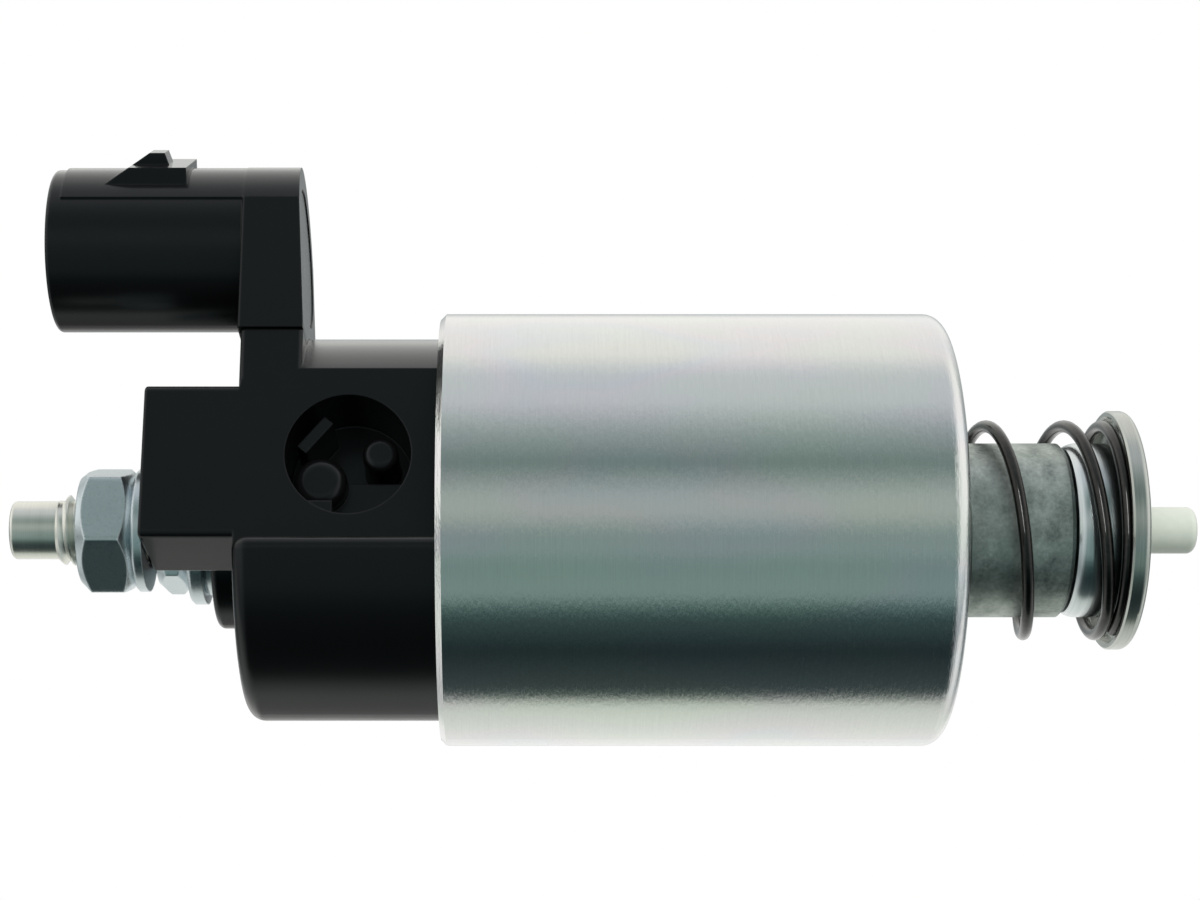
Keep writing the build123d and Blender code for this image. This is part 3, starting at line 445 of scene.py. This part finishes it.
def black_moulding():
    """Satin black plastic with a painted sheen on faces that look up and painted shade on faces that look down."""
    material, t, shining = new_finish("black_moulding", MOULDED_BLACK, specular=SHINING_SPECULAR)
    underside = add_node(t, "ShaderNodeBsdfPrincipled", inputs={"Specular IOR Level": UNDERSIDE_SPECULAR})
    grain = noise(t, position(t), 6.0)
    cloud = noise(t, position(t), 0.15, detail=2.0)
    shared = {
        "Base Color": (*MOULDED_BLACK, 1),
        "Roughness": 0.18 + grain * 0.06 + cloud * 0.06,
        "Specular Tint": (*MOULDED_TINT, 1),
        "Normal": bump(t, grain, MOULDED_GRAIN, normal=rounded_edges(t, MOULDED_EDGE)),
    }
    for shader in (shining, underside.socket.node):
        for place, value in shared.items():
            connect(t, shader.inputs[place], value)
    normal = add_node(t, "ShaderNodeNewGeometry", output="Normal")
    upward = add_node(t, "ShaderNodeSeparateXYZ", inputs={0: normal}, output="Z")
    # Painted sheen: the coat grows on faces that look up.
    connect(t, shining.inputs["Coat Weight"], (upward * PAINTED_SKY_SHEEN).clamped())
    shining.inputs["Coat IOR"].default_value = SKY_SHEEN_IOR
    shining.inputs["Coat Roughness"].default_value = SKY_SHEEN_ROUGHNESS
    # Painted shade: faces that look down get more of the less shiny shader.
    faces_down = ((upward * -1 - UNDERSIDE_START) / (1 - UNDERSIDE_START)).clamped()
    painted_underside_shade = faces_down.maths("POWER", UNDERSIDE_CURVE)
    inputs = {0: painted_underside_shade, 1: Wire(t, shining.outputs["BSDF"]), 2: underside}
    mixed = add_node(t, "ShaderNodeMixShader", inputs=inputs)
    connect(t, t.nodes["Material Output"].inputs["Surface"], mixed)
    return material


# %% [markdown]
# ## Steel, brass and copper
# Plated nuts are patchy at the scale of a fingertip, and a piece from the lathe shows hair lines round its
# axis. A picture of metal could be wrapped round each piece, but noise has no seam and needs no unwrapping.
# One function makes the speckle and one the lines, and each metal is a call with its own two colours.


# %% Metals with a speckled or turned surface
NUT_ROUND = 0.3 * MM
SPECKLE_SPREAD = 0.15
TURNED_LINES = (6.0, 0.15, 0.15)
TURNED_DEPTH = 0.006


def speckled_metal(name, dark, light, roughness, edge=None):
    """Plated or phosphated steel: patchy in colour and gloss at a fine scale."""
    material, t, shader = new_finish(name, light, metallic=1.0, roughness=roughness)
    fine = noise(t, position(t), 3.0, detail=4.0)
    broad = noise(t, position(t), 0.25)
    connect(t, shader.inputs["Base Color"], between(t, fine * 0.6 + broad * 0.4, dark, light))
    connect(t, shader.inputs["Roughness"], roughness - SPECKLE_SPREAD / 2 + fine * SPECKLE_SPREAD)
    rounded = rounded_edges(t, edge) if edge else None
    connect(t, shader.inputs["Normal"], bump(t, fine, 0.01, normal=rounded))
    return material


def turned_metal(name, dark, light, roughness):
    """Steel from the lathe: hair lines round the piece's axis."""
    material, t, shader = new_finish(name, light, metallic=1.0, roughness=roughness)
    lines = noise(t, position(t, TURNED_LINES), 1.0)
    connect(t, shader.inputs["Base Color"], between(t, lines, dark, light))
    connect(t, shader.inputs["Roughness"], roughness - 0.05 + lines * 0.1)
    connect(t, shader.inputs["Normal"], bump(t, lines, TURNED_DEPTH))
    return material


# %% [markdown]
# ## Plastics, spring wire, collar and plunger
# The soft pieces need only a slight mottle. The wire, the collar and the plunger each have a look of their
# own: oil on dark wire, steel with painted shade towards the hat, and a pitted, cloudy plating. Each is
# written as a function of its own, because shared settings would be harder to read than the three recipes.


# %% Soft, plain and oily finishes
# Painted shade on the collar: the share of its length left unshaded, and how much it darkens at the hat.
COLLAR_UNSHADED = 0.25
COLLAR_PAINTED_SHADE = 0.75


def plain_finish(name, dark, light, roughness):
    """Plastics, paper and rubber with a slight mottle."""
    material, t, shader = new_finish(name, light, roughness=roughness)
    mottle = noise(t, position(t), 1.2)
    connect(t, shader.inputs["Base Color"], between(t, mottle, dark, light))
    connect(t, shader.inputs["Roughness"], roughness - 0.05 + mottle * 0.1)
    connect(t, shader.inputs["Normal"], bump(t, mottle, 0.004))
    return material


def oiled_wire():
    """Dark tempered wire under a film of oil, which gives it its thin bright lines."""
    material, t, shader = new_finish("spring_wire", (0.06, 0.055, 0.05), metallic=1.0, roughness=0.28)
    scale = noise(t, position(t), 2.0, detail=4.0)
    connect(t, shader.inputs["Base Color"], between(t, scale, (0.010, 0.010, 0.009), (0.045, 0.043, 0.040)))
    shader.inputs["Coat Weight"].default_value = 0.6
    shader.inputs["Coat Roughness"].default_value = 0.08
    connect(t, shader.inputs["Normal"], bump(t, scale, 0.005))
    return material


def collar_metal():
    """Bright turned steel with painted shade that darkens it towards the hat, which shades it."""
    material, t, shader = new_finish("collar_steel", (0.78, 0.83, 0.84), metallic=1.0, roughness=0.24)
    low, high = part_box("plunger_collar")
    length = (high.x - low.x) / MM
    along_x = add_node(t, "ShaderNodeSeparateXYZ", inputs={0: position(t)})
    # Painted shade: the colour darkens along the collar towards the hat.
    painted_hat_shade = (((along_x - low.x / MM) / length - COLLAR_UNSHADED) / (1 - COLLAR_UNSHADED)).clamped()
    lines = noise(t, position(t, TURNED_LINES), 1.0)
    steel = between(t, lines, (0.60, 0.65, 0.66), (0.86, 0.91, 0.92))
    connect(t, shader.inputs["Base Color"], scaled(t, steel, 1 - painted_hat_shade * COLLAR_PAINTED_SHADE))
    connect(t, shader.inputs["Roughness"], 0.19 + lines * 0.1)
    connect(t, shader.inputs["Normal"], bump(t, lines, TURNED_DEPTH))
    return material


def mottled_steel():
    """The plunger: dull plated steel, pitted and cloudy."""
    material, t, shader = new_finish("plunger_plate", (0.5, 0.55, 0.52), metallic=1.0, roughness=0.45)
    cloud = noise(t, position(t), 0.22, detail=6.0, roughness=0.6)
    streaks = noise(t, position(t, (0.5, 0.2, 0.2)), 1.0)
    pits = noise(t, position(t), 2.2, detail=4.0, roughness=0.7)
    shade = (cloud * 0.5 + streaks * 0.25 + pits * 0.25 - 0.5) * 3.0 + 0.45
    connect(t, shader.inputs["Base Color"], between(t, shade, (0.14, 0.17, 0.16), (0.76, 0.82, 0.77)))
    connect(t, shader.inputs["Roughness"], 0.36 + pits * 0.2)
    connect(t, shader.inputs["Normal"], bump(t, pits, 0.03))
    return material


FINISHES = {
    "case_zinc": zinc_plate(),
    "black_moulding": black_moulding(),
    "bare_steel": turned_metal("bare_steel", (0.42, 0.42, 0.42), (0.6, 0.6, 0.6), 0.3),
    "brass": turned_metal("drawn_brass", (0.72, 0.55, 0.24), (0.85, 0.70, 0.36), 0.25),
    "nylon": plain_finish("natural_nylon", (0.72, 0.70, 0.60), (0.82, 0.80, 0.72), 0.45),
    "copper": speckled_metal("enamelled_copper", (0.50, 0.22, 0.10), (0.78, 0.42, 0.26), 0.3),
    "wrap_paper": plain_finish("wrap_paper", (0.60, 0.52, 0.36), (0.74, 0.66, 0.48), 0.8),
    "gasket_rubber": plain_finish("gasket_rubber", (0.02, 0.02, 0.02), (0.04, 0.04, 0.04), 0.7),
    "tinned_brass": speckled_metal("tinned_brass", (0.62, 0.60, 0.52), (0.78, 0.76, 0.68), 0.3),
    "stud_steel": turned_metal("stud_plate", (0.74, 0.74, 0.67), (0.94, 0.94, 0.88), 0.3),
    "nut_zinc": speckled_metal("nut_zinc", (0.58, 0.65, 0.68), (0.80, 0.86, 0.88), 0.3, edge=NUT_ROUND),
    "plunger_steel": mottled_steel(),
    "collar_steel": collar_metal(),
    "hat_steel": turned_metal("hat_steel", (0.42, 0.44, 0.41), (0.68, 0.70, 0.66), 0.24),
    "white_nylon": plain_finish("white_nylon", (0.82, 0.85, 0.74), (0.92, 0.94, 0.84), 0.35),
    "spring_steel": oiled_wire(),
    "phenolic": plain_finish("phenolic", (0.22, 0.11, 0.05), (0.32, 0.17, 0.09), 0.5),
}

slot_of = {part["node"]: part["material_slot"] for part in frame["record"]["subparts"]}
for name, node in frame["nodes"].items():
    node.data.materials.clear()
    node.data.materials.append(FINISHES[slot_of[name]])
print("finishes:", len(FINISHES))


# %% [markdown]
# ## Making pieces
# A round piece is a profile spun about its axis, and a coil is a circle spun while it climbs. Both end as
# a mesh whose object stays at the origin, as the frame's own pieces do.


# %% Helpers for new pieces
MERGE = 1e-7
WIRE_SIDES = 16
WIRE_SMOOTH_ANGLE = 60
COIL_STEPS = 72


def finish_piece(bm, name, body, slot_name, smooth_angle):
    """Turns a bmesh into a finished piece that rides on a body."""
    bmesh.ops.remove_doubles(bm, verts=bm.verts, dist=MERGE)
    bmesh.ops.recalc_face_normals(bm, faces=bm.faces)
    mesh = bpy.data.meshes.new(name)
    bm.to_mesh(mesh)
    bm.free()
    piece = bpy.data.objects.new(name, mesh)
    bpy.context.collection.objects.link(piece)
    mesh.shade_smooth()
    mesh.set_sharp_from_angle(angle=math.radians(smooth_angle))
    mesh.materials.append(FINISHES[slot_name])
    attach(piece, body)
    print(name, len(mesh.polygons), "faces")
    return piece


def ring_of_wire(bm, radius, centre):
    """A small circle that lies in the plane of the X axis, ready to be spun into a coil."""
    stand = Matrix.Translation(centre) @ Matrix.Rotation(math.pi / 2, 4, "X")
    made = bmesh.ops.create_circle(bm, cap_ends=False, radius=radius, segments=WIRE_SIDES, matrix=stand)
    return made["verts"], list(dict.fromkeys(e for v in made["verts"] for e in v.link_edges))


def turn_about_x(bm, verts, angle):
    """Turns vertices about the X axis."""
    bmesh.ops.rotate(bm, verts=verts, cent=(0, 0, 0), matrix=Matrix.Rotation(angle, 3, "X"))


def climb(bm, geometry, turns, rise):
    """Spins geometry about the X axis while it moves along it, and returns the last ring."""
    steps = round(turns * COIL_STEPS)
    spun = bmesh.ops.spin(
        bm, geom=geometry, cent=(0, 0, 0), axis=(1, 0, 0), dvec=(rise / steps, 0, 0),
        angle=turns * 2 * math.pi, steps=steps, use_duplicate=False,
    )
    return spun["geom_last"]


# %% [markdown]
# ## The springs
# The return spring pushes the plunger out of the can, and a small one behind the contact bridge pushes
# that forward. Their end turns are closed and lie flat. A curve with a bevel could make them, but a spun
# wire ring is simpler to follow: each stretch is one spin with its own climb.

# %% Springs
SPRINGS = {
    "return_spring": dict(
        wire=0.72 * MM, closed_turns=(0.98, 1.05), open_turns=1.82, start_degrees=-36, joint="plunger_slide"
    ),
    "contact_return_spring": dict(
        wire=0.35 * MM, closed_turns=(1, 1), open_turns=6, start_degrees=0, joint="contact_slide"
    ),
}


def wire_spring(node_name, wire, closed_turns, open_turns, start_degrees, joint):
    """A coil in the place of a frame's spring."""
    low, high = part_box(node_name)
    middle_radius = (high.z - low.z) / 2 - wire
    bm = bmesh.new()
    verts, edges = ring_of_wire(bm, wire, (low.x + wire, 0, 0))
    turn_about_x(bm, verts, -math.pi / 2)
    bmesh.ops.translate(bm, verts=verts, vec=(0, middle_radius, 0))
    turn_about_x(bm, verts, math.radians(start_degrees))
    bmesh.ops.contextual_create(bm, geom=edges)
    ring = verts + edges
    first_rise, last_rise = (turns * 2 * wire for turns in closed_turns)
    length = high.x - low.x
    open_rise = length - 2 * wire - first_rise - last_rise
    stretches = ((closed_turns[0], first_rise), (open_turns, open_rise), (closed_turns[1], last_rise))
    for turns, rise in stretches:
        ring = climb(bm, ring, turns, rise)
    bmesh.ops.contextual_create(bm, geom=[g for g in ring if isinstance(g, bmesh.types.BMEdge)])
    spring = finish_piece(bm, node_name + "_coil", "housing", "spring_steel", WIRE_SMOOTH_ANGLE)
    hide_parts(node_name)
    stroke = next(j for j in frame["joints"] if j["name"] == joint)["range_m"][1]
    (length - stroke) / length
    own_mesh(spring)
    return spring


coils = [wire_spring(spring_name, **spring_values) for spring_name, spring_values in SPRINGS.items()]

# %% [markdown]
# Oiled wire is dark, and what one sees of it is a thin bright line where a lamp is mirrored. A small lamp
# beside the lens draws that line, and it lights only the coils, so that the can keeps its calm bands.

# %% Glint on the wire
GLINT_RAISE = 0.3
GLINT_ASIDE = 0.25
GLINT_DISTANCE = 0.5
GLINT_SIZE = (0.05, 0.4)
GLINT_WATTS = 1.0

glint_way = towards_camera + picture_up * GLINT_RAISE - Vector((GLINT_ASIDE, 0, 0))
area_lamp("glint", GLINT_WATTS, GLINT_SIZE, glint_way, GLINT_DISTANCE, coils)


# %% [markdown]
# ## Screw threads
# The frame holds each stud with a plain wall at its thread's outer radius. That wall comes off, and one
# pitch of the thread's outline is spun round the stud while it climbs, so each turn joins the next. The
# last turns are cut square and bevelled, as a stud's are so that a nut will start on it.

# %% Threads on the studs
THREAD_PITCH = 1.25 * MM
THREAD_DEPTH = 0.62 * MM
THREAD_FLAT = 0.12
THREAD_STEPS = 48
THREAD_BEVEL_SLOPE = 0.9
THREAD_SMOOTH_ANGLE = 25
TOUCH = 0.01 * MM
STUD_THREADS = {
    "b_plus_stud": (-89.8 * MM, -99.9 * MM),
    "m_stud": (-84.3 * MM, -92.0 * MM),
}


def corners_of(geometry):
    """The vertices of a face or an edge, or the vertex itself."""
    return [geometry] if isinstance(geometry, bmesh.types.BMVert) else geometry.verts


def threaded_stud(node_name, inner_x, outer_x):
    """Rebuilds a stud from its own mesh, with a real thread in place of the plain wall."""
    bm = bmesh.new()
    bm.from_mesh(frame["nodes"][node_name].data)
    bmesh.ops.remove_doubles(bm, verts=bm.verts, dist=TOUCH / 10)
    wall = [f for f in bm.faces if all(outer_x - TOUCH < v.co.x < inner_x + TOUCH for v in f.verts)]
    corners = [v.co.copy() for f in wall for v in f.verts]
    low, high = (Vector((0, pick(c.y for c in corners), pick(c.z for c in corners))) for pick in (min, max))
    middle = (low + high) / 2
    crest = (high.y - low.y) / 2
    root = crest - THREAD_DEPTH
    bmesh.ops.delete(bm, geom=wall, context="FACES")
    kept = set(bm.verts)
    outline = ((0, root), (0.5 - THREAD_FLAT, crest), (0.5, crest), (1 - THREAD_FLAT, root), (1, root))
    first_x = inner_x + THREAD_PITCH
    points = [
        bm.verts.new((first_x - part * THREAD_PITCH, middle.y + radius, middle.z)) for part, radius in outline
    ]
    edges = [bm.edges.new(pair) for pair in zip(points, points[1:])]
    turns = math.ceil((first_x - outer_x) / THREAD_PITCH)
    bmesh.ops.spin(
        bm, geom=points + edges, cent=middle, axis=(-1, 0, 0), angle=turns * 2 * math.pi,
        dvec=(-THREAD_PITCH / THREAD_STEPS, 0, 0), steps=turns * THREAD_STEPS, use_duplicate=False,
    )
    thread = [v for v in bm.verts if v not in kept]
    bmesh.ops.remove_doubles(bm, verts=thread, dist=MERGE)
    for x, outward in ((inner_x, 1), (outer_x, -1)):
        everything = (*bm.verts, *bm.edges, *bm.faces)
        geometry = [part for part in everything if not kept.issuperset(corners_of(part))]
        bmesh.ops.bisect_plane(
            bm, geom=geometry, dist=MERGE, plane_co=(x, 0, 0), plane_no=(outward, 0, 0), clear_outer=True
        )
    for vert in (v for v in bm.verts if v not in kept):
        across = Vector((0, vert.co.y, vert.co.z)) - middle
        reach = root + THREAD_BEVEL_SLOPE * (vert.co.x - outer_x)
        if across.length > reach:
            vert.co = Vector((vert.co.x, 0, 0)) + middle + across.normalized() * reach
    bmesh.ops.holes_fill(bm, edges=[e for e in bm.edges if e.is_boundary], sides=0)
    piece = finish_piece(bm, node_name + "_threaded", "housing", slot_of[node_name], THREAD_SMOOTH_ANGLE)
    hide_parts(node_name)


for stud_name, (inner_x, outer_x) in STUD_THREADS.items():
    threaded_stud(stud_name, inner_x, outer_x)


# %% [markdown]
# ## Nuts
# A cold-formed nut has slightly rounded corners and a domed bevel at each face, which is where it catches
# the light. A six-sided prism could be cut to that shape, but spinning the nut's section round the stud
# and then drawing the outer rings out to the hexagon gives the curved bevel lines without a cut.

# %% Hexagon nuts
NUT_STEPS = 180
NUT_BORE = 4.0 * MM
NUT_BEVEL = 0.5 * MM
NUT_CORNER_SLOPE = 0.7
NUT_CORNER_ROUND = 0.993
NUT_EDGE = 0.14 * MM
NUT_SMOOTH_ANGLE = 28
SIXTH_TURN = math.pi / 3
NUTS = {"b_plus_nut": (13.0 * MM, 27.0), "m_nut": (11.5 * MM, 58.0)}


def hexagon_reach(flats, angle):
    """How far a hexagon with rounded corners reaches at an angle."""
    off_flat = (angle + SIXTH_TURN / 2) % SIXTH_TURN - SIXTH_TURN / 2
    return min(flats / 2 / math.cos(off_flat), flats / math.sqrt(3) * NUT_CORNER_ROUND)


def hexagon_nut(node_name, flats, turn_degrees):
    """A nut in the place of a frame's nut."""
    low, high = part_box(node_name)
    middle = (low + high) / 2
    half = (high.x - low.x) / 2
    start = math.radians(turn_degrees) + SIXTH_TURN / 2
    one_face = (
        (half - NUT_EDGE * 2, NUT_BORE),
        (half, NUT_BORE + NUT_EDGE * 2),
        (half, flats / 2 - NUT_BEVEL),
        (half - NUT_BEVEL, flats / 2 - NUT_EDGE),
        (half - NUT_BEVEL - NUT_EDGE, flats / 2),
    )
    section = [(-x, radius) for x, radius in one_face] + [*reversed(one_face)]
    bm = bmesh.new()
    points = [
        bm.verts.new(middle + Vector((x, radius * math.cos(start), radius * math.sin(start))))
        for x, radius in section
    ]
    edges = [bm.edges.new(pair) for pair in zip(points, points[1:] + points[:1])]
    bmesh.ops.spin(
        bm, geom=points + edges, cent=middle, axis=(1, 0, 0), dvec=(0, 0, 0), angle=2 * math.pi,
        steps=NUT_STEPS, use_merge=True, use_duplicate=False,
    )
    for vert in bm.verts:
        across = Vector((0, vert.co.y - middle.y, vert.co.z - middle.z))
        if across.length < flats / 2 - NUT_EDGE * 2:
            continue
        spare = hexagon_reach(flats, math.atan2(across.z, across.y) - start) - flats / 2
        inward = -1 if vert.co.x > middle.x else 1
        vert.co += across.normalized() * spare + Vector((inward * spare * NUT_CORNER_SLOPE, 0, 0))
    piece = finish_piece(bm, node_name + "_formed", "housing", slot_of[node_name], NUT_SMOOTH_ANGLE)
    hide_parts(node_name)


for nut_name, (flats, turn_degrees) in NUTS.items():
    hexagon_nut(nut_name, flats, turn_degrees)
